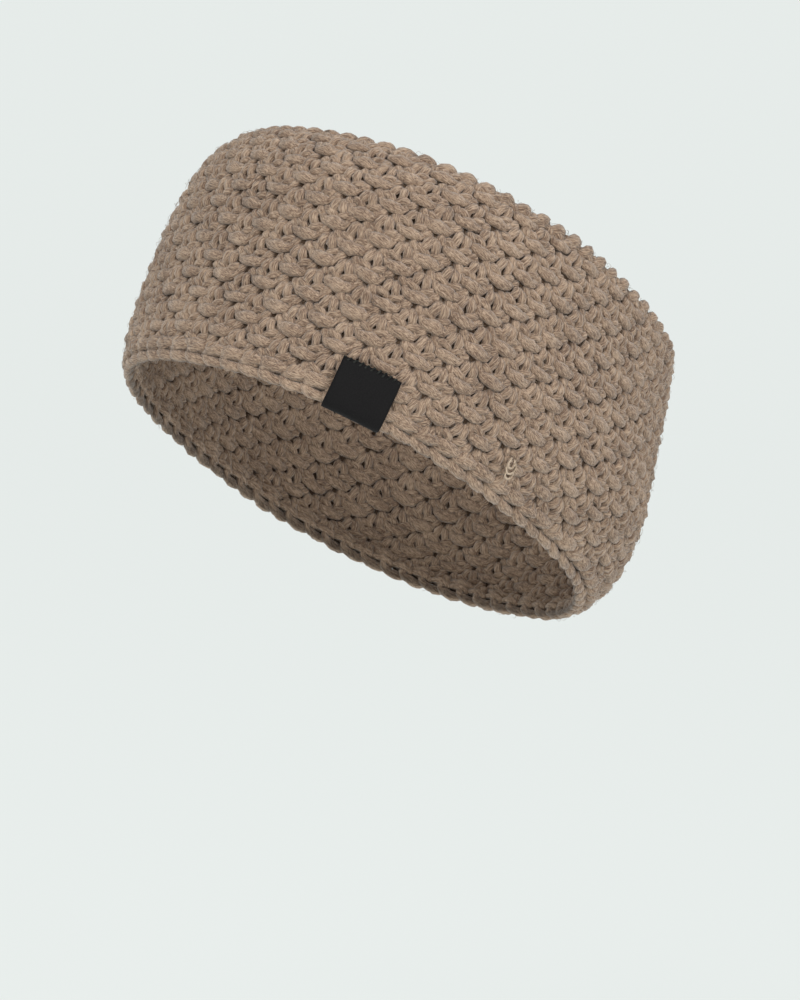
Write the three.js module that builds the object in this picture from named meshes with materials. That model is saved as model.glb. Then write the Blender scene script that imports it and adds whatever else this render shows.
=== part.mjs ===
import * as THREE from "three";

// Ear warmer headband: a wide knitted ring in the form that it takes on a head.
// Millimetres. +X is the wearer's left, -Y the forehead and +Z up.
// The origin is the middle of the hollow that the head fills.

// Driving dimensions of the worn band, measured to the outside of the knit
const halfWidth = 88;
const frontReach = 100;
const backReach = 103;
const bandHeight = 100;
const wallThickness = 6;
const wornTilt = THREE.MathUtils.degToRad(27.5);

// The oval of the head: 2 is an ellipse, and more is squarer
const squareness = 2.2;
// The upper rim lies further forward than the lower one
const forwardLean = 4;
// The lower rim rises over the forehead and drops at the nape
const rimRise = 1.8;

// The swell over each ear
const earSwell = 3.5;
const earTurn = THREE.MathUtils.degToRad(108);
const earTurnSpread = THREE.MathUtils.degToRad(20);
const earHeight = 30;
const earHeightSpread = 25;

// The edges of the knitting
const boundOffHeight = 9;
const boundOffRounding = 2.5;
const castOnHeight = 3.5;
const castOnRounding = 2.2;
const seamRounding = 0.6;

// The woven label, folded round the lower rim
const labelWidth = 21;
const labelHeight = 17.3;
const labelInnerHeight = 15;
const labelThickness = 0.9;
const labelTurn = THREE.MathUtils.degToRad(39.5);
// The label's foot lies this much further round than its top edge
const labelSkew = 2;

// The gap between pieces that touch
const clearance = 0.3;

// Each row is a level section of the band. height is a share of bandHeight, side of
// halfWidth, front of frontReach and back of backReach.
const sections = [
  { height: 0.0, side: 0.9, front: 0.95, back: 0.935 },
  { height: 0.15, side: 0.98, front: 0.97, back: 1.04 },
  { height: 0.5, side: 1.0, front: 1.0, back: 1.0 },
  { height: 0.85, side: 0.91, front: 0.975, back: 0.965 },
  { height: 1.0, side: 0.853, front: 0.81, back: 0.938 },
];

// The most of a wall or an edge's height that one rounding may take
const largestRounding = 0.49;

// Fineness of the facets
const ringSteps = 84;
const bandSteps = 10;
const cornerSteps = 3;
const labelSteps = 6;
const legSteps = 5;

// A share of the table at any height, on the one smooth curve through all of its rows
function shareAt(column, height) {
  return sections.reduce((sum, row) => {
    const others = sections.filter((other) => other !== row);
    const weight = others.reduce(
      (product, other) => (product * (height - other.height)) / (row.height - other.height),
      1,
    );
    return sum + weight * row[column];
  }, 0);
}

function signedPower(value) {
  return Math.sign(value) * Math.abs(value) ** (2 / squareness);
}

// How far the knit stands out over the ears at a turn from the forehead
function earSwellAt(turn, up) {
  const fromForehead = Math.abs(Math.atan2(Math.sin(turn), Math.cos(turn)));
  const along = (fromForehead - earTurn) / earTurnSpread;
  const over = (up - earHeight) / earHeightSpread;
  return earSwell * Math.exp(-(along ** 2) - over ** 2);
}

// A point on the outside of the band. turn goes from the forehead to the wearer's left,
// and up is the distance above the lower rim along the band's own axis.
function outerPoint(turn, up) {
  const height = up / bandHeight;
  const sideways = signedPower(Math.sin(turn));
  const forwards = signedPower(Math.cos(turn));
  const reach =
    forwards > 0 ? frontReach * shareAt("front", height) : backReach * shareAt("back", height);
  const x = halfWidth * shareAt("side", height) * sideways;
  const y = -reach * forwards - forwardLean * (height - 0.5);
  const z = up - bandHeight / 2 + rimRise * Math.cos(turn) * (1 - height);
  return new THREE.Vector3(x + Math.sign(sideways) * earSwellAt(turn, up), y, z);
}

// Unit steps along the band, up it and out of it
function directionsAt(turn, up) {
  const probe = 0.01;
  const along = outerPoint(turn + probe, up).sub(outerPoint(turn - probe, up));
  const upwards = outerPoint(turn, up + probe).sub(outerPoint(turn, up - probe));
  const lengthPerTurn = along.length() / (2 * probe);
  const outwards = new THREE.Vector3().crossVectors(along, upwards).normalize();
  return { outwards, lengthPerTurn };
}

// A point of a section corner, at a depth below the outside of the band and a distance
// across from the turn of its station. A station's lean is its drift across for each
// millimetre down.
function bandPoint(station, corner) {
  const across = station.across - station.lean * corner.up;
  const turn = station.turn + across / directionsAt(station.turn, corner.up).lengthPerTurn;
  const { outwards } = directionsAt(turn, corner.up);
  return outerPoint(turn, corner.up).addScaledVector(outwards, -corner.depth);
}

// A section carried past each station. A ring joins its last station to its first, and a
// strip gets a flat face at each end.
function sweep(profile, stations, isRing) {
  const points = stations.flatMap((station) => profile.map((corner) => bandPoint(station, corner)));
  const count = profile.length;
  const faces = [];
  const spans = isRing ? stations.length : stations.length - 1;
  for (let span = 0; span < spans; span += 1) {
    const here = span * count;
    const next = ((span + 1) % stations.length) * count;
    for (let side = 0; side < count; side += 1) {
      const following = (side + 1) % count;
      faces.push(here + side, next + side, next + following);
      faces.push(here + side, next + following, here + following);
    }
  }
  if (!isRing) {
    const outline = profile.map((corner) => new THREE.Vector2(corner.depth, corner.up));
    const last = (stations.length - 1) * count;
    for (const [a, b, c] of THREE.ShapeUtils.triangulateShape(outline, [])) {
      faces.push(a, c, b);
      faces.push(last + a, last + b, last + c);
    }
  }
  const geometry = new THREE.BufferGeometry();
  geometry.setAttribute(
    "position",
    new THREE.Float32BufferAttribute(points.flatMap((point) => point.toArray()), 3),
  );
  geometry.setIndex(faces);
  geometry.computeVertexNormals();
  return geometry;
}

function ringStations() {
  return Array.from({ length: ringSteps }, (_, step) => ({
    turn: (step / ringSteps) * 2 * Math.PI,
    across: 0,
    lean: 0,
  }));
}

// Corners at even steps between two heights, all at one depth
function levels(from, to, depth, steps) {
  return Array.from({ length: steps + 1 }, (_, step) => ({
    up: from + ((to - from) * step) / steps,
    depth,
  }));
}

// The plain wall of the band between two heights, as corners round its section
function wallProfile(low, high) {
  return [...levels(low, high, 0, bandSteps), ...levels(high, low, wallThickness, bandSteps)];
}

// A quarter round corner, from one direction to the next a quarter turn on
function roundCorner(up, depth, radius, start) {
  return Array.from({ length: cornerSteps + 1 }, (_, step) => {
    const angle = start + (step / cornerSteps) * (Math.PI / 2);
    return { up: up + radius * Math.sin(angle), depth: depth - radius * Math.cos(angle) };
  });
}

// A rounding held within the wall and the height of the edge that it rounds
function fitRounding(rounding, height) {
  return Math.min(rounding, largestRounding * Math.min(wallThickness, height));
}

// The wall between two heights with its corners rounded below and above
function roundedProfile(low, high, lowRounding, highRounding) {
  const below = fitRounding(lowRounding, high - low);
  const above = fitRounding(highRounding, high - low);
  return [
    ...roundCorner(low + below, below, below, -Math.PI / 2),
    ...roundCorner(high - above, above, above, 0),
    ...roundCorner(high - above, wallThickness - above, above, Math.PI / 2),
    ...roundCorner(low + below, wallThickness - below, below, Math.PI),
  ];
}

// The label's section: a tape down the inside, round under the rim and up the outside
function labelProfile() {
  const rounding = fitRounding(boundOffRounding, boundOffHeight);
  const tape = (offset) => [
    ...levels(labelInnerHeight, rounding, wallThickness + offset, legSteps).slice(0, -1),
    ...roundCorner(rounding, wallThickness - rounding, rounding + offset, Math.PI),
    ...roundCorner(rounding, rounding, rounding + offset, -Math.PI / 2),
    ...levels(rounding, labelHeight, -offset, legSteps).slice(1),
  ];
  return [...tape(clearance + labelThickness), ...tape(clearance).reverse()];
}

function labelStations() {
  return Array.from({ length: labelSteps + 1 }, (_, step) => ({
    turn: labelTurn,
    across: (step / labelSteps - 0.5) * labelWidth + labelSkew / 2,
    lean: labelSkew / labelHeight,
  }));
}

function piece(name, geometry, material) {
  const mesh = new THREE.Mesh(geometry, material);
  mesh.name = name;
  return mesh;
}

const taupeYarn = new THREE.MeshStandardMaterial({ color: 0x958270, roughness: 0.95, metalness: 0 });
const blackTape = new THREE.MeshStandardMaterial({ color: 0x262526, roughness: 0.8, metalness: 0 });

const knitLow = boundOffHeight + clearance;
const knitHigh = bandHeight - castOnHeight - clearance;
const rings = ringStations();

const wornBand = new THREE.Group();
wornBand.rotation.x = -wornTilt;
wornBand.add(
  piece("knit_band", sweep(wallProfile(knitLow, knitHigh), rings, true), taupeYarn),
  piece(
    "bound_off_edge",
    sweep(roundedProfile(0, boundOffHeight, boundOffRounding, seamRounding), rings, true),
    taupeYarn,
  ),
  piece(
    "cast_on_edge",
    sweep(
      roundedProfile(bandHeight - castOnHeight, bandHeight, seamRounding, castOnRounding),
      rings,
      true,
    ),
    taupeYarn,
  ),
  piece("label", sweep(labelProfile(), labelStations(), false), blackTape),
);

const headband = new THREE.Group();
headband.add(wornBand);

export default headband;
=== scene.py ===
"""The looks of a chunky knitted ear warmer headband, worn form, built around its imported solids.

Every length inside the classes is in millimetres, and is turned to metres where a mesh is made.
+X is the wearer's left, -Y the forehead and +Z up.
"""
import logging
import math
from dataclasses import dataclass
from enum import Enum

import bmesh
import bpy
import numpy as np
from mathutils import Matrix, Vector


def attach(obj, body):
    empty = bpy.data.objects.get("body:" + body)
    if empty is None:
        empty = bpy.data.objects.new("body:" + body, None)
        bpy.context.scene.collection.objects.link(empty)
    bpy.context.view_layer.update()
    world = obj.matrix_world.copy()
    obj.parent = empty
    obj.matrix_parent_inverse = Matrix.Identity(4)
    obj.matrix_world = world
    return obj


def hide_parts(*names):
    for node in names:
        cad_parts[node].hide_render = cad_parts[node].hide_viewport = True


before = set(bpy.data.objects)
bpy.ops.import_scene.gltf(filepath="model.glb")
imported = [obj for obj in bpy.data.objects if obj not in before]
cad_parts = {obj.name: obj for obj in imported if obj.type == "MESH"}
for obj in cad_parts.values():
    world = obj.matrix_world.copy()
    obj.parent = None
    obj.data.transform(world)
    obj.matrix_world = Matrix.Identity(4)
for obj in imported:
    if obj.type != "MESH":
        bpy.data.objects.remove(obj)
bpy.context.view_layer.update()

MM = 0.001
SEED = 7
# Steps round the band in which its girth is measured.
GIRTH_STEPS = 1440
# The small step, in radians or millimetres, over which a slope is taken.
PROBE = 1e-3
# Vertices nearer than this, in metres, are one.
MERGE_DISTANCE = 1e-7
# Millimetres from band to band of a wave texture at scale 1.
WAVE_SPACING = 0.314
log = logging.getLogger("headband")


def srgb(code: str) -> tuple[float, float, float, float]:
    """Turns a colour from hex to linear light.

    Args:
        code: six hex digits, as in "958270".

    Returns:
        Linear red, green and blue, and an alpha of 1.
    """
    values = [int(code[at:at + 2], 16) / 255 for at in (0, 2, 4)]
    linear = [v / 12.92 if v <= 0.04045 else ((v + 0.055) / 1.055) ** 2.4 for v in values]
    return (*linear, 1.0)


def add_node(material: bpy.types.Material, kind: str, settings: dict | None = None,
             links: dict | None = None) -> bpy.types.Node:
    """Adds one node to a material, with its settings and the links that reach it.

    Args:
        material: the material that gets the node.
        kind: the node's type name, such as "ShaderNodeTexNoise".
        settings: socket names or property names with their values.
        links: socket names with the outputs that feed them.

    Returns:
        The new node.
    """
    node = material.node_tree.nodes.new(kind)
    for name, value in (settings or {}).items():
        if isinstance(name, int) or name in node.inputs:
            node.inputs[name].default_value = value
        else:
            setattr(node, name, value)
    for name, source in (links or {}).items():
        material.node_tree.links.new(source, node.inputs[name])
    return node


def new_yarn_mesh() -> bmesh.types.BMesh:
    """Starts a mesh whose points say how the fibres of their yarn lie.

    Returns:
        The empty mesh.
    """
    bm = bmesh.new()
    bm.verts.layers.float_vector.new("yarn")
    # How far out from mid wall each point lies, which the yarn's finish turns into painted shade.
    bm.verts.layers.float.new("height")
    return bm


def finish_piece(name: str, bm: bmesh.types.BMesh, material: bpy.types.Material
                 ) -> bpy.types.Object:
    """Closes a mesh's seams and makes it a smooth piece that rides on the band.

    Args:
        name: the piece's name.
        bm: the mesh, which is freed.
        material: the finish.

    Returns:
        The piece.
    """
    bmesh.ops.remove_doubles(bm, verts=bm.verts, dist=MERGE_DISTANCE)
    for face in bm.faces:
        face.smooth = True
    mesh = bpy.data.meshes.new(name)
    bm.to_mesh(mesh)
    bm.free()
    mesh.materials.append(material)
    piece = bpy.data.objects.new(name, mesh)
    bpy.context.scene.collection.objects.link(piece)
    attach(piece, "root")
    return piece


def add_wrapping_grid(bm: bmesh.types.BMesh, steps: int, around: int
                      ) -> tuple[list[bmesh.types.BMVert], np.ndarray, np.ndarray]:
    """Adds a grid that is to be wrapped round a line, and numbers its vertices.

    Args:
        bm: the mesh that gets the grid.
        steps: the grid's steps along the line.
        around: its steps round the line.

    Returns:
        The vertices, each one's step along the line and each one's place round it.
    """
    verts = bmesh.ops.create_grid(bm, x_segments=steps, y_segments=around, size=0.5)["verts"]
    corners = np.array([vert.co[:2] for vert in verts]) + 0.5
    return (verts, np.rint(corners[:, 0] * steps).astype(int),
            np.rint(corners[:, 1] * around).astype(int) % around)


def signed_power(values: np.ndarray, exponent: float) -> np.ndarray:
    """Raises sizes to a power and keeps their signs."""
    return np.sign(values) * np.abs(values) ** exponent


@dataclass(frozen=True)
class Section:
    """A level section of the band, as shares of its height and of its three reaches."""

    height: float
    side: float
    front: float
    back: float


@dataclass(frozen=True)
class BandForm:
    """The outside of the worn band, from the same sizes as the solids."""

    half_width: float = 88.0
    front_reach: float = 100.0
    back_reach: float = 103.0
    height: float = 100.0
    wall: float = 6.0
    tilt: float = math.radians(27.5)
    squareness: float = 2.2
    forward_lean: float = 4.0
    rim_rise: float = 1.8
    ear_swell: float = 3.5
    ear_turn: float = math.radians(108)
    ear_turn_spread: float = math.radians(20)
    ear_height: float = 30.0
    ear_height_spread: float = 25.0
    sections: tuple[Section, ...] = (
        Section(height=0.0, side=0.9, front=0.95, back=0.935),
        Section(height=0.15, side=0.98, front=0.97, back=1.04),
        Section(height=0.5, side=1.0, front=1.0, back=1.0),
        Section(height=0.85, side=0.91, front=0.975, back=0.965),
        Section(height=1.0, side=0.853, front=0.81, back=0.938),
    )

    def share(self, column: str, height: np.ndarray) -> np.ndarray:
        """Reads one column of the sections at any height, on a smooth curve.

        Args:
            column: the column's name.
            height: shares of the band's height.

        Returns:
            The column's shares there.
        """
        total = np.zeros_like(height)
        for row in self.sections:
            weight = np.ones_like(height)
            for other in self.sections:
                if other is not row:
                    weight = weight * (height - other.height) / (row.height - other.height)
            total = total + weight * getattr(row, column)
        return total

    def outside(self, turn: np.ndarray, up: np.ndarray) -> np.ndarray:
        """Gives points on the outside of the band, before it is tilted.

        Args:
            turn: the way round from the forehead to the wearer's left, in radians.
            up: the distance above the lower rim.

        Returns:
            Points, with X, Y and Z on the last axis.
        """
        height = up / self.height
        sideways = signed_power(np.sin(turn), 2 / self.squareness)
        forwards = signed_power(np.cos(turn), 2 / self.squareness)
        front = self.front_reach * self.share("front", height)
        back = self.back_reach * self.share("back", height)
        from_forehead = np.abs(np.arctan2(np.sin(turn), np.cos(turn)))
        along = (from_forehead - self.ear_turn) / self.ear_turn_spread
        over = (up - self.ear_height) / self.ear_height_spread
        swell = self.ear_swell * np.exp(-along ** 2 - over ** 2)
        x = self.half_width * self.share("side", height) * sideways + np.sign(sideways) * swell
        y = -np.where(forwards > 0, front, back) * forwards - self.forward_lean * (height - 0.5)
        z = up - self.height / 2 + self.rim_rise * np.cos(turn) * (1 - height)
        return np.stack([x, y, z], axis=-1)

    def tilted(self, points: np.ndarray) -> np.ndarray:
        """Tilts points with the band, with its forehead side up.

        Args:
            points: X, Y and Z on the last axis.

        Returns:
            The tilted points.
        """
        x, y, z = points[..., 0], points[..., 1], points[..., 2]
        cos, sin = math.cos(self.tilt), math.sin(self.tilt)
        return np.stack([x, y * cos + z * sin, z * cos - y * sin], axis=-1)

    def place(self, turn: np.ndarray, up: np.ndarray, out: np.ndarray
              ) -> tuple[np.ndarray, np.ndarray]:
        """Gives points near the band's outside and the directions out of it.

        Args:
            turn: the way round from the forehead to the wearer's left, in radians.
            up: the distance above the lower rim.
            out: the distance outwards from the outside.

        Returns:
            The points and the unit directions.
        """
        along = self.outside(turn + PROBE, up) - self.outside(turn - PROBE, up)
        upwards = self.outside(turn, up + PROBE) - self.outside(turn, up - PROBE)
        normal = np.cross(along, upwards)
        normal /= np.linalg.norm(normal, axis=-1, keepdims=True)
        points = self.outside(turn, up) + normal * np.asarray(out)[..., None]
        return self.tilted(points), self.tilted(normal)

    def around_middle(self) -> tuple[np.ndarray, np.ndarray]:
        """Measures the outside at mid height in even turns.

        Returns:
            The turns in radians, and the distances from each to the next.
        """
        angles = np.linspace(0, 2 * math.pi, GIRTH_STEPS + 1)
        points = self.outside(angles, np.full_like(angles, self.height / 2))
        return angles, np.linalg.norm(np.diff(points, axis=0), axis=-1)

    def turns(self, shares: np.ndarray) -> np.ndarray:
        """Turns even shares of the way round the band's middle into angles.

        Args:
            shares: shares of the whole girth, from the forehead to the wearer's left.

        Returns:
            The turns in radians.
        """
        angles, steps = self.around_middle()
        girth = np.concatenate([[0], np.cumsum(steps)]) / steps.sum()
        whole = np.floor(shares)
        return np.interp(shares - whole, girth, angles) + whole * 2 * math.pi

    def girth(self) -> float:
        """The length round the outside at mid height."""
        return float(self.around_middle()[1].sum())


class Side(Enum):
    """Which face of the fabric a loop stands on."""

    KNIT = 1
    PURL = -1


@dataclass(frozen=True)
class LoopPoint:
    """A place on the left half of a loop: across in stitches from its middle, down in
    courses from its feet, out in millimetres from mid wall, and the yarn's radius there."""

    across: float
    down: float
    out: float
    radius: float


@dataclass(frozen=True)
class YarnFinish:
    """Wool blend yarn: soft spun fibres with a low twist, matt with a faint halo.

    Its fibres show as fine light and dark lines that wind along the strand, and yarn that lies
    deep in the knit is painted darker, as painted shade for the crevices between strands. Real
    fibres are 0.02 to 0.03 mm thick, too fine to show, so they are drawn coarser, as bundles of
    0.2 mm in strands of 0.4 mm.
    so they are drawn coarser, as bundles of 0.2 mm in strands of 0.4 mm.
    """

    name: str
    light: str = "C0A68F"
    middle: str = "9D836E"
    dark: str = "6C5647"
    strand_width: float = 0.4
    fibre_width: float = 0.2
    fibre_stretch: float = 6.5
    twist: float = 0.16
    strand_relief: float = 0.2
    fibre_relief: float = 0.25
    roughness: float = 0.92
    sheen: float = 0.35
    # Painted shade: the share of colour left on yarn at mid wall, and the heights over which that
    # darkening fades out.
    painted_deep_shade: float = 0.5
    deep_height: float = 0.4
    full_height: float = 1.6
    blotches_a_metre: float = 90.0
    strand_share: float = 0.3
    fibre_share: float = 0.55
    blotch_share: float = 0.15
    dark_tone: float = 0.41
    light_tone: float = 0.59
    gloss: float = 0.2

    def build(self) -> bpy.types.Material:
        """Makes the material, which reads the yarn's own attribute.

        Returns:
            The material.
        """
        material = bpy.data.materials.new(self.name)
        material.use_nodes = True
        material.node_tree.nodes.clear()
        yarn = add_node(material, "ShaderNodeAttribute", {"attribute_name": "yarn"})
        strands = add_node(material, "ShaderNodeTexNoise", {
            "Scale": 1 / self.strand_width, "Detail": 1.0, "Roughness": 0.5},
            {"Vector": yarn.outputs["Vector"]})
        fibres = add_node(material, "ShaderNodeTexNoise", {
            "Scale": 1 / self.fibre_width, "Detail": 2.0, "Roughness": 0.6},
            {"Vector": yarn.outputs["Vector"]})
        place = add_node(material, "ShaderNodeTexCoord")
        blotches = add_node(material, "ShaderNodeTexNoise", {
            "Scale": self.blotches_a_metre, "Detail": 2.0, "Roughness": 0.5},
            {"Vector": place.outputs["Object"]})
        tone = add_node(material, "ShaderNodeMath",
                        {"operation": "MULTIPLY", 1: self.strand_share},
                        {0: strands.outputs["Fac"]})
        tone = add_node(material, "ShaderNodeMath",
                        {"operation": "MULTIPLY_ADD", 1: self.fibre_share},
                        {0: fibres.outputs["Fac"], 2: tone.outputs[0]})
        tone = add_node(material, "ShaderNodeMath",
                        {"operation": "MULTIPLY_ADD", 1: self.blotch_share},
                        {0: blotches.outputs["Fac"], 2: tone.outputs[0]})
        ramp = add_node(material, "ShaderNodeValToRGB", {}, {"Fac": tone.outputs[0]})
        ramp.color_ramp.elements[0].position = self.dark_tone
        ramp.color_ramp.elements[0].color = srgb(self.dark)
        ramp.color_ramp.elements[1].position = self.light_tone
        ramp.color_ramp.elements[1].color = srgb(self.light)
        middle = ramp.color_ramp.elements.new(0.5)
        middle.color = srgb(self.middle)
        # Painted shade: yarn that lies near the middle of the wall is darkened, standing for the
        # shade in the crevices and pits between strands.
        height = add_node(material, "ShaderNodeAttribute", {"attribute_name": "height"})
        shade = add_node(material, "ShaderNodeMapRange", {
            "interpolation_type": "SMOOTHSTEP", "From Min": self.deep_height,
            "From Max": self.full_height, "To Min": self.painted_deep_shade, "To Max": 1.0},
            {"Value": height.outputs["Fac"]})
        painted_shade_colour = add_node(material, "ShaderNodeVectorMath", {"operation": "SCALE"},
                          {"Vector": ramp.outputs["Color"], "Scale": shade.outputs["Result"]})
        rough = add_node(material, "ShaderNodeBump", {
            "Strength": 1.0, "Distance": self.strand_relief * MM},
            {"Height": strands.outputs["Fac"]})
        bump = add_node(material, "ShaderNodeBump", {
            "Strength": 1.0, "Distance": self.fibre_relief * MM},
            {"Height": fibres.outputs["Fac"], "Normal": rough.outputs["Normal"]})
        shader = add_node(material, "ShaderNodeBsdfPrincipled", {
            "Roughness": self.roughness, "Sheen Weight": self.sheen, "Sheen Roughness": 0.5,
            "Specular IOR Level": self.gloss},
            {"Base Color": painted_shade_colour.outputs["Vector"], "Normal": bump.outputs["Normal"]})
        add_node(material, "ShaderNodeOutputMaterial", {}, {"Surface": shader.outputs["BSDF"]})
        return material


@dataclass(frozen=True)
class Run:
    """A middle line for yarn: its points and directions out of the fabric, the radii, and
    how far out each point lies from the middle of the wall, all in millimetres. A run of
    separate strands has the same number of points in each."""

    centres: np.ndarray
    normals: np.ndarray
    radii: np.ndarray
    heights: np.ndarray
    strand: int = 0


@dataclass(frozen=True)
class YarnTube:
    """A run of yarn or thread, swept along its middle line."""

    sides: int = 9
    closed: bool = True
    flatness: float = 0.86
    unevenness: float = 0.07

    def weave_in(self, bm: bmesh.types.BMesh, run: Run, finish: YarnFinish) -> None:
        """Wraps a new grid of the mesh round a line of points.

        Args:
            bm: the mesh that gets the tube.
            run: the middle line, with its radii.
            finish: the finish, which says how the fibres lie.
        """
        centres, count = run.centres, len(run.centres)
        steps = count if self.closed else count - 1
        if self.closed:
            tangents = np.roll(centres, -1, axis=0) - np.roll(centres, 1, axis=0)
        else:
            tangents = np.gradient(centres, axis=0)
        tangents /= np.linalg.norm(tangents, axis=-1, keepdims=True)
        across = np.cross(tangents, run.normals)
        across /= np.linalg.norm(across, axis=-1, keepdims=True)
        above = np.cross(across, tangents)
        travelled = np.concatenate([[0], np.cumsum(
            np.linalg.norm(np.diff(centres, axis=0), axis=-1))])
        verts, step, side = add_wrapping_grid(bm, steps, self.sides)
        step %= count
        angle = side / self.sides * 2 * math.pi
        ring = run.radii[step, None] * (np.cos(angle)[:, None] * across[step]
                                        + np.sin(angle)[:, None] * above[step] * self.flatness)
        bumps = np.random.default_rng(SEED + count).normal(1, self.unevenness, (count, self.sides))
        ring *= bumps[step, side, None]
        places = (centres[step] + ring) * MM
        # How far out from mid wall each point lies, which the yarn's finish turns into painted
        # shade.
        heights = np.abs(run.heights[step] + (ring * run.normals[step]).sum(axis=-1))
        spiral = angle + finish.twist * travelled[step]
        fibres = np.stack([travelled[step] / finish.fibre_stretch,
                           run.radii[step] * np.cos(spiral), run.radii[step] * np.sin(spiral)],
                          axis=-1)
        yarn = bm.verts.layers.float_vector["yarn"]
        height = bm.verts.layers.float["height"]
        for vert, place, fibre, level in zip(verts, places.tolist(), fibres.tolist(),
                                             heights.tolist()):
            vert.co = place
            vert[yarn] = fibre
            vert[height] = level
        if run.strand:
            rows = dict(zip(verts, step.tolist()))
            joins = {face for vert, row in rows.items() if row % run.strand == run.strand - 1
                     for face in vert.link_faces
                     if any(rows[other] == row + 1 for other in face.verts)}
            bmesh.ops.delete(bm, geom=list(joins), context="FACES_ONLY")


@dataclass(frozen=True)
class Fabric:
    """How stitches lie on the band: their number round, and their places in its wall."""

    form: BandForm
    stitches: int = 68
    mid_depth: float = 3.2
    spiral_lean: float = 0.06

    def round_off(self, points: np.ndarray, samples: int) -> np.ndarray:
        """Rounds the way through the control points of a run that closes on itself.

        Args:
            points: rows of stitches round, millimetres up, millimetres out and radius.
            samples: how many points stand for each control point.

        Returns:
            Rows of the same kind, on a smooth curve through the control points.
        """
        whole_turn = np.array([self.stitches, 0, 0, 0])
        before = np.roll(points, 1, axis=0)
        before[0] -= whole_turn
        after = np.roll(points, -1, axis=0)
        after[-1] += whole_turn
        later = np.roll(points, -2, axis=0)
        later[-2:] += whole_turn
        curve = []
        for t in np.arange(samples) / samples:
            curve.append(0.5 * (2 * points + (after - before) * t
                                + (2 * before - 5 * points + 4 * after - later) * t ** 2
                                + (3 * points - before - 3 * after + later) * t ** 3))
        return np.stack(curve, axis=1).reshape(-1, 4)

    def lay(self, points: np.ndarray, strand: int = 0) -> Run:
        """Puts a run of yarn on the band.

        Args:
            points: rows of stitches round, millimetres up, millimetres out from the
                middle of the wall, and radius.
            strand: how many points each separate strand has, or 0 for a single one.

        Returns:
            The run.
        """
        up = points[:, 1]
        pitch = self.form.girth() / self.stitches
        lean = self.spiral_lean * (up - self.form.height / 2) / pitch
        turn = self.form.turns((points[:, 0] + lean) / self.stitches)
        centres, normals = self.form.place(turn, up, points[:, 2] - self.mid_depth)
        return Run(centres, normals, np.maximum(points[:, 3], 0), points[:, 2], strand)


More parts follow.
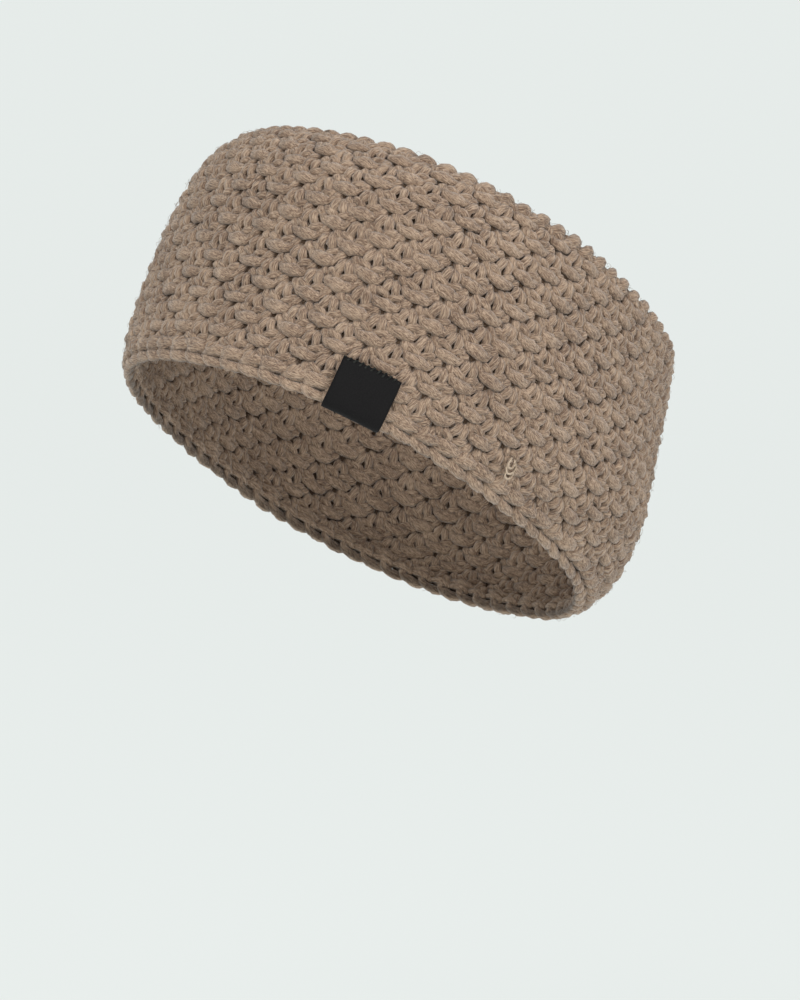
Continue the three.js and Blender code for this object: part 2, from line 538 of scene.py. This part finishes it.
@dataclass
class SeedStitch:
    """The band's seed stitch: courses of loops that stand on the front and the back in turn.

    A course more at each end is the cast-on's and the bound-off edge's own loops, which end
    inside the edges.
    """

    fabric: Fabric
    finish: YarnFinish
    flat_size: tuple[float, float] = (0.52, 0.10)
    courses: int = 13
    first_course: float = 3.6
    course_pitch: float = 6.55
    into_rim: float = 3.4
    into_chain: float = 5.2
    samples: int = 2
    courses_a_piece: int = 4
    # How far loops differ: shares of the radius, a course and a stitch, and then each point.
    size_spread: float = 0.06
    down_spread: float = 0.035
    across_spread: float = 0.02
    point_spread: tuple[float, float, float] = (0.015, 0.022, 0.1)
    depth_in_edges: float = 0.2
    core_thickness: float = 1.0
    core_inset: float = 3.0
    core_steps: int = 180
    core_around: int = 40
    core_rounding: float = 8.0
    half_loop: tuple[LoopPoint, ...] = (
        LoopPoint(across=-0.50, down=0.12, out=0.0, radius=1.8),
        LoopPoint(across=-0.36, down=0.17, out=-1.25, radius=1.4),
        LoopPoint(across=-0.11, down=0.35, out=-0.6, radius=1.6),
        LoopPoint(across=-0.155, down=0.70, out=1.65, radius=1.75),
        LoopPoint(across=-0.225, down=0.97, out=1.25, radius=1.6),
        LoopPoint(across=-0.27, down=1.22, out=-0.6, radius=1.85),
        LoopPoint(across=-0.57, down=1.60, out=0.8, radius=1.4),
        LoopPoint(across=-0.30, down=1.72, out=1.0, radius=2.0),
        LoopPoint(across=0.0, down=1.72, out=1.45, radius=2.3),
    )

    def side(self, stitch: int, course: int) -> Side:
        """The face that a loop's legs and head stand on."""
        return Side.KNIT if (stitch + course) % 2 else Side.PURL

    def control_points(self, course: int, rng: np.random.Generator) -> np.ndarray:
        """The places that one course's yarn passes through.

        Args:
            course: the course, counted down from the upper rim.
            rng: the source of small differences between loops.

        Returns:
            Rows of stitches round, millimetres up, millimetres out and radius.
        """
        half = np.array([[p.across, p.down, p.out, p.radius] for p in self.half_loop])
        whole = np.concatenate([half, half[-2:0:-1] * (-1, 1, 1, 1)])
        rows = []
        for stitch in range(self.fabric.stitches):
            loop = whole * (1, 1, self.side(stitch, course).value, 1)
            loop[:, 0] += stitch + 0.5
            size = rng.normal(0, 1, 3)
            loop[:, 3] *= 1 + self.size_spread * size[0]
            loop[1:, 1] += self.down_spread * size[1]
            loop[1:, 0] += self.across_spread * size[2]
            loop[1:, :3] += rng.normal(0, 1, (len(loop) - 1, 3)) * self.point_spread
            rows.append(loop)
        points = np.concatenate(rows)
        down = self.first_course + self.course_pitch * (course + points[:, 1])
        up = self.fabric.form.height - down
        points[:, 1] = np.clip(up, self.into_chain, self.fabric.form.height - self.into_rim)
        points[:, 2] *= np.where(points[:, 1] == up, 1.0, self.depth_in_edges)
        return points

    def build_core(self) -> bpy.types.Object:
        """Makes a sheet at mid wall that fills the holes between the two faces' loops: it stands
        for the yarn deep in the wall, and its dark colour is painted shade for the pits.

        Returns:
            The piece.
        """
        # Painted shade: the same wool, painted darker and without the halo, for the shade in the
        # pits between strands.
        finish = YarnFinish("deep_yarn_painted_shade", light="685546", middle="564537", dark="43342A",
                            sheen=0.0, painted_deep_shade=1.0)
        bm = new_yarn_mesh()
        verts, step, place = add_wrapping_grid(bm, self.core_steps, self.core_around)
        low, high = self.core_inset, self.fabric.form.height - self.core_inset
        half = self.core_thickness / 2
        layer = bm.verts.layers.float_vector["yarn"]
        turn = self.fabric.form.turns(step % self.core_steps / self.core_steps)
        loop = place / self.core_around
        rising = np.abs(2 * loop - 1)
        up = low + (high - low) * (1 - rising)
        from_ends = np.minimum(1, self.core_rounding * (0.5 - np.abs(0.5 - rising)))
        out = np.where(loop < 0.5, -half, half) * from_ends
        points, _ = self.fabric.form.place(turn, up, out - self.fabric.mid_depth)
        for vert, point in zip(verts, points.tolist()):
            vert.co = [value * MM for value in point]
            vert[layer] = point
        return finish_piece("deep_yarn_shade_sheet", bm, finish.build())

    def build(self, material: bpy.types.Material) -> list[bpy.types.Object]:
        """Makes the courses, a few to a piece.

        Args:
            material: the yarn's finish.

        Returns:
            The pieces, from the upper rim down.
        """
        rng = np.random.default_rng(SEED)
        pieces = []
        for first in range(-1, self.courses + 1, self.courses_a_piece):
            bm = new_yarn_mesh()
            last = min(first + self.courses_a_piece, self.courses + 1)
            for course in range(first, last):
                curve = self.fabric.round_off(self.control_points(course, rng), self.samples)
                YarnTube().weave_in(bm, self.fabric.lay(curve), self.finish)
            pieces.append(finish_piece(f"seed_stitch_{first + 2}_to_{last + 1}", bm, material))
        return pieces


@dataclass(frozen=True)
class ChainPoint:
    """A place on a link of the bound-off chain: along in stitches, up and out in
    millimetres, and the yarn's radius there."""

    along: float
    up: float
    out: float
    radius: float


@dataclass
class BoundOffChain:
    """The chain that closes the lower rim: one link a stitch, each through the one before."""

    fabric: Fabric
    finish: YarnFinish
    samples: int = 3
    size_spread: float = 0.05
    point_spread: tuple[float, float, float] = (0.02, 0.12, 0.08)
    link: tuple[ChainPoint, ...] = (
        ChainPoint(along=0.00, up=4.25, out=-0.7, radius=1.2),
        ChainPoint(along=0.30, up=4.8, out=1.1, radius=1.65),
        ChainPoint(along=0.62, up=5.7, out=1.6, radius=2.0),
        ChainPoint(along=1.02, up=6.3, out=1.0, radius=1.75),
        ChainPoint(along=1.32, up=6.0, out=-0.3, radius=1.3),
        ChainPoint(along=1.42, up=4.2, out=-1.3, radius=1.2),
        ChainPoint(along=1.32, up=1.9, out=-0.5, radius=1.5),
        ChainPoint(along=1.02, up=1.7, out=0.5, radius=1.75),
        ChainPoint(along=0.62, up=1.85, out=1.0, radius=2.0),
        ChainPoint(along=0.30, up=2.4, out=0.9, radius=1.7),
        ChainPoint(along=0.00, up=3.5, out=-0.7, radius=1.2),
        ChainPoint(along=0.50, up=4.0, out=-2.0, radius=1.5),
    )

    def build(self, material: bpy.types.Material) -> bpy.types.Object:
        """Makes the chain.

        Args:
            material: the yarn's finish.

        Returns:
            The piece.
        """
        rng = np.random.default_rng(SEED + 1)
        table = np.array([[p.along, p.up, p.out, p.radius] for p in self.link])
        rows = []
        for stitch in range(self.fabric.stitches):
            link = table.copy()
            link[:, 0] += stitch
            link[:, 3] *= 1 + self.size_spread * rng.normal()
            link[:, :3] += rng.normal(0, 1, (len(link), 3)) * self.point_spread
            rows.append(link)
        bm = new_yarn_mesh()
        curve = self.fabric.round_off(np.concatenate(rows), self.samples)
        YarnTube().weave_in(bm, self.fabric.lay(curve), self.finish)
        return finish_piece("bound_off_chain", bm, material)


@dataclass
class CastOnEdge:
    """The cast-on edge: a strand that wraps once a stitch round a straight one at the rim."""

    fabric: Fabric
    finish: YarnFinish
    samples_a_stitch: int = 12
    wrap_below_rim: float = 3.2
    wrap_height: float = 1.1
    wrap_depth: float = 1.5
    wrap_radius: float = 2.0
    swelling: float = 0.12
    size_spread: float = 0.06
    size_smoothing: int = 4
    size_in_height: float = 3.0
    tail_below_rim: float = 3.9
    tail_radius: float = 1.6
    tail_thinning: int = 3

    def build(self, material: bpy.types.Material) -> bpy.types.Object:
        """Makes the edge.

        Args:
            material: the yarn's finish.

        Returns:
            The piece.
        """
        rng = np.random.default_rng(SEED + 2)
        bm = new_yarn_mesh()
        count = self.fabric.stitches * self.samples_a_stitch
        along = np.arange(count) / self.samples_a_stitch
        wave = 2 * math.pi * along
        size = np.repeat(rng.normal(0, self.size_spread, self.fabric.stitches),
                         self.samples_a_stitch)
        shifts = range(-self.size_smoothing, self.size_smoothing + 1)
        size = sum(np.roll(size, shift) for shift in shifts) / len(shifts)
        swell = 1 + self.swelling * np.sin(wave) + size
        wrap = np.stack([along, self.fabric.form.height - self.wrap_below_rim
                         + self.wrap_height * np.sin(wave) * (1 + self.size_in_height * size),
                         self.wrap_depth * np.cos(wave), self.wrap_radius * swell], axis=-1)
        tail = np.stack([along, np.full(count, self.fabric.form.height - self.tail_below_rim),
                         np.zeros(count), np.full(count, self.tail_radius)], axis=-1)
        for strand in (wrap, tail[::self.tail_thinning]):
            YarnTube().weave_in(bm, self.fabric.lay(strand), self.finish)
        return finish_piece("cast_on_edge_loops", bm, material)


@dataclass(frozen=True)
class TapeFinish:
    """Black woven polyester tape: fine picks across it, matt with a faint satin gleam.

    The picks are drawn about a third coarser than real ones, so that they show.
    """

    name: str
    light: str = "1E1C1D"
    dark: str = "080708"
    pick_width: float = 0.3
    fleck_width: float = 0.5
    relief: float = 0.1
    roughness: float = 0.7
    gloss: float = 0.15
    pick_share: float = 0.35
    fleck_share: float = 0.65
    dark_tone: float = 0.3
    light_tone: float = 0.7

    def build(self) -> bpy.types.Material:
        """Makes the material, which reads the tape's own attribute.

        Returns:
            The material.
        """
        material = bpy.data.materials.new(self.name)
        material.use_nodes = True
        material.node_tree.nodes.clear()
        weave = add_node(material, "ShaderNodeAttribute", {"attribute_name": "yarn"})
        picks = add_node(material, "ShaderNodeTexWave", {
            "wave_type": "BANDS", "bands_direction": "X",
            "Scale": WAVE_SPACING / self.pick_width,
            "Distortion": 1.2, "Detail": 1.0}, {"Vector": weave.outputs["Vector"]})
        flecks = add_node(material, "ShaderNodeTexNoise", {
            "Scale": 1 / self.fleck_width, "Detail": 3.0, "Roughness": 0.7},
            {"Vector": weave.outputs["Vector"]})
        tone = add_node(material, "ShaderNodeMath",
                        {"operation": "MULTIPLY", 1: self.pick_share},
                        {0: picks.outputs["Fac"]})
        tone = add_node(material, "ShaderNodeMath",
                        {"operation": "MULTIPLY_ADD", 1: self.fleck_share},
                        {0: flecks.outputs["Fac"], 2: tone.outputs[0]})
        ramp = add_node(material, "ShaderNodeValToRGB", {}, {"Fac": tone.outputs[0]})
        ramp.color_ramp.elements[0].position = self.dark_tone
        ramp.color_ramp.elements[0].color = srgb(self.dark)
        ramp.color_ramp.elements[1].position = self.light_tone
        ramp.color_ramp.elements[1].color = srgb(self.light)
        bump = add_node(material, "ShaderNodeBump", {
            "Strength": 1.0, "Distance": self.relief * MM}, {"Height": tone.outputs[0]})
        shader = add_node(material, "ShaderNodeBsdfPrincipled", {
            "Roughness": self.roughness, "Specular IOR Level": self.gloss},
            {"Base Color": ramp.outputs["Color"], "Normal": bump.outputs["Normal"]})
        add_node(material, "ShaderNodeOutputMaterial", {}, {"Surface": shader.outputs["BSDF"]})
        return material


@dataclass
class LabelTape:
    """The bare label: a short tape folded under the lower rim and whipped down at its top."""

    form: BandForm
    turn: float = math.radians(39.5)
    width: float = 21.0
    height: float = 17.3
    inner_height: float = 15.0
    fold_radius: float = 2.5
    thickness: float = 0.7
    clearance: float = 0.4
    skew: float = 2.0
    ripple: float = 0.12
    ripple_across: float = 5.0
    ripple_along: float = 0.4
    end_thinning: float = 0.3
    edge_thinning: float = 0.6
    leg_steps: int = 12
    fold_steps: int = 5
    width_steps: int = 16
    thread_radius: float = 0.32
    thread_pitch: float = 2.1
    thread_samples: int = 10
    thread_below_top: float = 0.45
    thread_swing: float = 0.65
    thread_spread: float = 0.25
    thread_out: float = 0.75
    thread_depth: float = 0.5
    thread_inset: float = 0.4
    flat_size: tuple[float, float] = (0.021, 0.0385)

    def fold(self) -> np.ndarray:
        """The tape's middle from its inner end, round the rim, to its outer end.

        Returns:
            Rows of millimetres up and out, and of the tape's own up and out there.
        """
        gap = self.clearance + self.thickness / 2
        radius = self.fold_radius
        rows = [(up, -self.form.wall - gap, 0.0, -1.0) for up in
                np.linspace(self.inner_height, radius, self.leg_steps)]
        for middle, start in ((radius - self.form.wall, 0.0), (-radius, 0.5)):
            for step in range(1, self.fold_steps + 1):
                angle = (start + step / self.fold_steps / 2) * math.pi
                rows.append((radius - (radius + gap) * math.sin(angle),
                             middle - (radius + gap) * math.cos(angle),
                             -math.sin(angle), -math.cos(angle)))
        rows += [(up, gap, 0.0, 1.0) for up in
                 np.linspace(radius, self.height, self.leg_steps)[1:]]
        return np.array(rows)

    def across_turn(self, across: np.ndarray, up: np.ndarray) -> np.ndarray:
        """The turn at a distance across the label, which leans with its skew.

        Args:
            across: millimetres from the label's middle line.
            up: millimetres above the lower rim.

        Returns:
            Turns in radians.
        """
        here = np.full_like(up, self.turn)
        step = self.form.outside(here + PROBE, up) - self.form.outside(here - PROBE, up)
        a_turn = np.linalg.norm(step, axis=-1) / (2 * PROBE)
        drift = self.skew * (0.5 - up / self.height)
        return self.turn + (across + drift) / a_turn

    def build_tape(self, material: bpy.types.Material) -> bpy.types.Object:
        """Makes the folded tape.

        Args:
            material: its finish.

        Returns:
            The piece.
        """
        fold = self.fold()
        half = self.thickness / 2
        flat = np.linspace(-1, 1, self.width_steps + 1)
        ring = [(x, 1.0) for x in flat] + [(x, -1.0) for x in flat[::-1]]
        bm = new_yarn_mesh()
        steps = len(fold) - 1
        verts, row, side = add_wrapping_grid(bm, steps, len(ring))
        layer = bm.verts.layers.float_vector["yarn"]
        across, face = np.array(ring)[side].T
        end = np.where((row == 0) | (row == steps), self.end_thinning, 1.0)
        edge = np.where(np.abs(across) == 1, self.edge_thinning, 1.0)
        thick = face * half * end * edge
        up = fold[row, 0] + fold[row, 2] * thick
        out = fold[row, 1] + fold[row, 3] * thick
        length = np.concatenate([[0], np.cumsum(np.linalg.norm(
            np.diff(fold[:, :2], axis=0), axis=-1))])[row]
        ripple = np.sin(across * self.ripple_across + length * self.ripple_along)
        out = out + self.ripple * ripple * (fold[row, 1] > 0)
        across = across * self.width / 2
        points, _ = self.form.place(self.across_turn(across, up), up, out)
        for vert, point, x, y in zip(verts, points.tolist(), length, across):
            vert.co = [value * MM for value in point]
            vert[layer] = (x, y, 0.0)
        bmesh.ops.remove_doubles(bm, verts=bm.verts, dist=MERGE_DISTANCE)
        bmesh.ops.holes_fill(bm, edges=[edge for edge in bm.edges if edge.is_boundary], sides=0)
        bmesh.ops.recalc_face_normals(bm, faces=bm.faces)
        return finish_piece("label_tape", bm, material)

    def build_thread(self, material: bpy.types.Material) -> bpy.types.Object:
        """Makes the thread that whips the tape's outer end to the knit.

        Args:
            material: the thread's finish.

        Returns:
            The piece.
        """
        rng = np.random.default_rng(SEED + 3)
        turns = int(self.width / self.thread_pitch)
        count = turns * self.thread_samples + 1
        along = np.linspace(0, 1, count)
        wave = along * turns * 2 * math.pi
        uneven = np.interp(along, np.linspace(0, 1, turns + 1),
                           rng.normal(0, self.thread_spread, turns + 1))
        up = self.height - self.thread_below_top + (self.thread_swing + uneven) * np.sin(wave)
        out = self.thread_out + self.thread_depth * np.cos(wave)
        across = (along - 0.5) * (self.width - 2 * self.thread_inset) + uneven
        centres, normals = self.form.place(self.across_turn(across, up), up, out)
        radii = np.full(count, self.thread_radius)
        radii[[0, -1]] = 0
        bm = new_yarn_mesh()
        run = Run(centres, normals, radii, np.full(count, self.form.wall))
        YarnTube(sides=6, closed=False).weave_in(bm, run, YarnFinish("thread"))
        return finish_piece("label_whip_thread", bm, material)


@dataclass(frozen=True)
class PlyRing:
    """One pulled loop of thin ply: its middle beside and below the snag's own, and its half
    width and half height, in millimetres."""

    aside: float
    below: float
    wide: float
    tall: float


@dataclass
class LooseEnds:
    """What stands off the yarn: a pulled loop above the lower rim, and fine fibres all over.

    The fibres are drawn 0.1 mm thick, about four times as thick as real ones, so that they
    show, and there are fewer of them than on real yarn.
    """

    fabric: Fabric
    finish: YarnFinish
    snag_share: float = 0.2087
    snag_up: float = 13.0
    snag_radius: float = 0.4
    rings: tuple[PlyRing, ...] = (
        PlyRing(aside=0.0, below=0.0, wide=1.9, tall=2.2),
        PlyRing(aside=0.9, below=-1.7, wide=1.6, tall=2.0),
        PlyRing(aside=-0.9, below=1.1, wide=1.3, tall=1.7),
    )
    ring_half_turns: tuple[float, float] = (-0.4, 1.4)
    ring_points: int = 19
    ring_out: float = 0.6
    ring_rise: float = 0.8
    fibres: int = 4500
    fibre_radius: float = 0.05
    fibre_length: tuple[float, float] = (1.8, 4.5)
    fibre_height: tuple[float, float] = (0.2, 1.4)
    fibre_points: int = 5
    fibre_sway: float = 0.6
    fibre_root: float = 0.5
    fibre_above_lower_rim: float = 2.0
    fibre_below_upper_rim: float = 3.0
    outer_share: float = 0.75
    rim_share: float = 0.16
    rim_root: float = 1.2
    rim_reach: float = 0.5

    def build_snag(self, material: bpy.types.Material) -> bpy.types.Object:
        """Makes the pulled loops of thin ply.

        Args:
            material: the yarn's finish.

        Returns:
            The piece.
        """
        bm = new_yarn_mesh()
        pitch = self.fabric.form.girth() / self.fabric.stitches
        angle = np.linspace(*self.ring_half_turns, self.ring_points) * math.pi
        for ring in self.rings:
            along = (self.snag_share * self.fabric.stitches
                     + (ring.aside + ring.wide * np.cos(angle)) / pitch)
            up = self.snag_up + ring.below - ring.tall * np.sin(angle)
            out = self.fabric.mid_depth + self.ring_out + self.ring_rise * np.sin(angle)
            radius = np.full_like(angle, self.snag_radius)
            radius[[0, -1]] = 0
            lines = self.fabric.lay(np.stack([along, up, out, radius], axis=-1))
            YarnTube(sides=6, closed=False).weave_in(bm, lines, self.finish)
        return finish_piece("pulled_ply_loops", bm, material)

    def build_fibres(self, material: bpy.types.Material) -> bpy.types.Object:
        """Makes short curved fibres over both faces and the rims.

        Args:
            material: the yarn's finish.

        Returns:
            The piece.
        """
        rng = np.random.default_rng(SEED + 4)
        pitch = self.fabric.form.girth() / self.fabric.stitches
        t = np.linspace(0, 1, self.fibre_points)
        low, high = self.fibre_height
        height = low + (high - low) * rng.uniform(0, 1, (self.fibres, 1)) ** 2
        heading = rng.uniform(0, 2 * math.pi, (self.fibres, 1))
        reach = rng.uniform(*self.fibre_length, (self.fibres, 1)) * (t - 0.5)
        sway = (rng.normal(0, self.fibre_sway, (self.fibres, 1)) * height
                * np.sin(math.pi * t))
        rise = height * np.sin(math.pi * t)
        along = (rng.uniform(0, self.fabric.stitches, (self.fibres, 1))
                 + (reach * np.cos(heading) - sway * np.sin(heading)) / pitch)
        top = self.fabric.form.height
        up = (rng.uniform(self.fibre_above_lower_rim, top - self.fibre_below_upper_rim,
                          (self.fibres, 1))
              + reach * np.sin(heading) + sway * np.cos(heading))
        face = np.where(rng.uniform(size=(self.fibres, 1)) < self.outer_share, 1, -1)
        out = face * (self.fabric.mid_depth - self.fibre_root + rise)
        on_rim = rng.uniform(size=(self.fibres, 1)) < self.rim_share
        up = np.where(on_rim, top - self.rim_root + rise, up)
        out = np.where(on_rim, rng.uniform(-1, 1, (self.fibres, 1)) + self.rim_reach * reach,
                       out)
        radius = np.full((self.fibres, self.fibre_points), self.fibre_radius)
        radius[:, [0, -1]] = 0
        points = np.stack([along, up, out, radius], axis=-1).reshape(-1, 4)
        bm = new_yarn_mesh()
        YarnTube(sides=3, closed=False, flatness=1.0, unevenness=0.0).weave_in(
            bm, self.fabric.lay(points, self.fibre_points), self.finish)
        return finish_piece("loose_fibres", bm, material)


@dataclass(frozen=True)
class Softbox:
    """A soft square light: its watts, its edge in metres, and where it stands, in metres
    right of, above and in front of the band as the camera sees it."""

    name: str
    power: float
    size: float
    place: tuple[float, float, float]


@dataclass
class Studio:
    """The pale sweep, the soft lights and the camera."""

    azimuth: float = math.radians(40.6)
    elevation: float = math.radians(5)
    roll: float = math.radians(6.6)
    distance: float = 1.5
    focal_pixels: float = 4230.0
    centre: tuple[float, float] = (404.25, 367.5)
    image: tuple[int, int] = (800, 1000)
    sensor_width: float = 36.0
    floor_drop: float = 0.30
    floor_radius: float = 3.0
    floor_sides: int = 96
    sweep_steps: int = 10
    sweep_rise: float = 1.2
    backdrop: str = "E7ECEA"
    backdrop_shade: str = "606261"
    backdrop_glow: float = 0.9
    surroundings_glow: float = 0.6
    softboxes: tuple[Softbox, ...] = (
        Softbox("key_softbox", power=10.8, size=0.8, place=(-0.4, 1.05, 1.25)),
        Softbox("fill_softbox", power=9.8, size=1.0, place=(1.2, 0.5, 1.1)),
        Softbox("top_softbox", power=2.5, size=1.2, place=(0.3, 1.8, -0.3)),
    )

    def axes(self) -> Matrix:
        """Gives the camera's directions, before it is aimed off centre.

        Returns:
            A matrix with right, up and back in its columns.
        """
        az, el = self.azimuth, self.elevation
        back = Vector((math.sin(az) * math.cos(el), -math.cos(az) * math.cos(el), math.sin(el)))
        right = Vector((math.cos(az), math.sin(az), 0))
        up = back.cross(right)
        turned_right = right * math.cos(self.roll) + up * math.sin(self.roll)
        turned_up = up * math.cos(self.roll) - right * math.sin(self.roll)
        return Matrix((turned_right, turned_up, back)).transposed()

    def add_camera(self) -> None:
        """Sets the camera at the photograph's angle, with the band where it sits there."""
        data = bpy.data.cameras.new("camera")
        data.sensor_width = self.sensor_width
        data.lens = self.focal_pixels / self.image[1] * self.sensor_width
        camera = bpy.data.objects.new("camera", data)
        axes = self.axes()
        yaw = math.atan((self.centre[0] - self.image[0] / 2) / self.focal_pixels)
        pitch = math.atan((self.image[1] / 2 - self.centre[1]) / self.focal_pixels)
        aim = Matrix.Rotation(-pitch, 3, "X") @ Matrix.Rotation(yaw, 3, "Y")
        camera.matrix_world = (Matrix.Translation(axes.col[2] * self.distance)
                               @ (axes @ aim).to_4x4())
        bpy.context.scene.collection.objects.link(camera)
        bpy.context.scene.camera = camera

    def add_floor(self) -> None:
        """Makes a round pale floor that curves up far from the band."""
        # Background paper: matt all over, and bright enough to show no shade of its own.
        material = bpy.data.materials.new("matt_paper_sweep")
        material.use_nodes = True
        shader = material.node_tree.nodes["Principled BSDF"]
        shader.inputs["Base Color"].default_value = srgb(self.backdrop_shade)
        shader.inputs["Roughness"].default_value = 0.9
        shader.inputs["Specular IOR Level"].default_value = 0.0
        shader.inputs["Emission Color"].default_value = srgb(self.backdrop)
        shader.inputs["Emission Strength"].default_value = self.backdrop_glow
        bm = bmesh.new()
        bmesh.ops.create_circle(bm, cap_ends=True, cap_tris=False, segments=self.floor_sides,
                                radius=self.floor_radius)
        rim = [edge for edge in bm.edges if edge.is_boundary]
        for step in range(1, self.sweep_steps + 1):
            angle = step / self.sweep_steps * math.pi / 2
            made = bmesh.ops.extrude_edge_only(bm, edges=rim)["geom"]
            verts = [item for item in made if isinstance(item, bmesh.types.BMVert)]
            rim = [item for item in made if isinstance(item, bmesh.types.BMEdge)]
            radius = self.floor_radius + self.sweep_rise * math.sin(angle)
            for vert in verts:
                flat = vert.co.to_2d().normalized() * radius
                vert.co = (flat.x, flat.y, self.sweep_rise * (1 - math.cos(angle)))
        bmesh.ops.translate(bm, verts=bm.verts, vec=(0, 0, -self.floor_drop))
        for face in bm.faces:
            face.smooth = len(face.verts) == 4
        mesh = bpy.data.meshes.new("floor")
        bm.to_mesh(mesh)
        bm.free()
        mesh.materials.append(material)
        floor = bpy.data.objects.new("floor", mesh)
        bpy.context.scene.collection.objects.link(floor)

    def add_light(self, box: Softbox) -> None:
        """Adds a soft square light that faces the band.

        Args:
            box: the light.
        """
        data = bpy.data.lights.new(box.name, "AREA")
        data.energy = box.power
        data.size = box.size
        lamp = bpy.data.objects.new(box.name, data)
        lamp.location = self.axes() @ Vector(box.place)
        lamp.rotation_euler = lamp.location.to_track_quat("Z", "Y").to_euler()
        bpy.context.scene.collection.objects.link(lamp)

    def build(self) -> None:
        """Sets up the camera, the floor, the lights and the pale surroundings."""
        self.add_camera()
        self.add_floor()
        for box in self.softboxes:
            self.add_light(box)
        world = bpy.data.worlds.new("pale_surroundings")
        world.use_nodes = True
        background = world.node_tree.nodes["Background"]
        background.inputs["Color"].default_value = srgb(self.backdrop)
        background.inputs["Strength"].default_value = self.surroundings_glow
        bpy.context.scene.world = world
        bpy.context.scene.view_settings.view_transform = "Standard"


def main() -> None:
    """Builds the headband's pieces in order and reports each."""
    Studio().build()
    fabric = Fabric(BandForm())
    yarn = YarnFinish("soft_spun_wool_blend_yarn")
    wool = yarn.build()
    seed_stitch = SeedStitch(fabric, yarn)
    core = seed_stitch.build_core()
    courses = seed_stitch.build(wool)
    chain = BoundOffChain(fabric, yarn).build(wool)
    rim = CastOnEdge(fabric, yarn).build(wool)
    ends = LooseEnds(fabric, yarn)
    # Ply pulled out of its strand: thin and loose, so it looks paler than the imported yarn.
    ply = YarnFinish("untwisted_ply", light="D2BDA6", middle="B7A089", dark="8F7B67").build()
    loose = [ends.build_snag(ply), ends.build_fibres(wool)]
    label = LabelTape(fabric.form)
    tape = label.build_tape(TapeFinish("black_woven_tape").build())
    # Spun polyester thread: the tape's black, painted greyer all over as a painted highlight for
    # the light its round side takes.
    thread = label.build_thread(TapeFinish("black_sewing_thread", light="343532",
                                           dark="1B1C1B").build())
    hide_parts("knit_band")
    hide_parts("bound_off_edge")
    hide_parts("cast_on_edge")
    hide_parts("label")
    knit = [core, *courses, chain, rim, *loose]
    for piece in [*knit, tape, thread]:
        log.info("%s: %d faces", piece.name, len(piece.data.polygons))


if __name__ == "__main__":
    main()
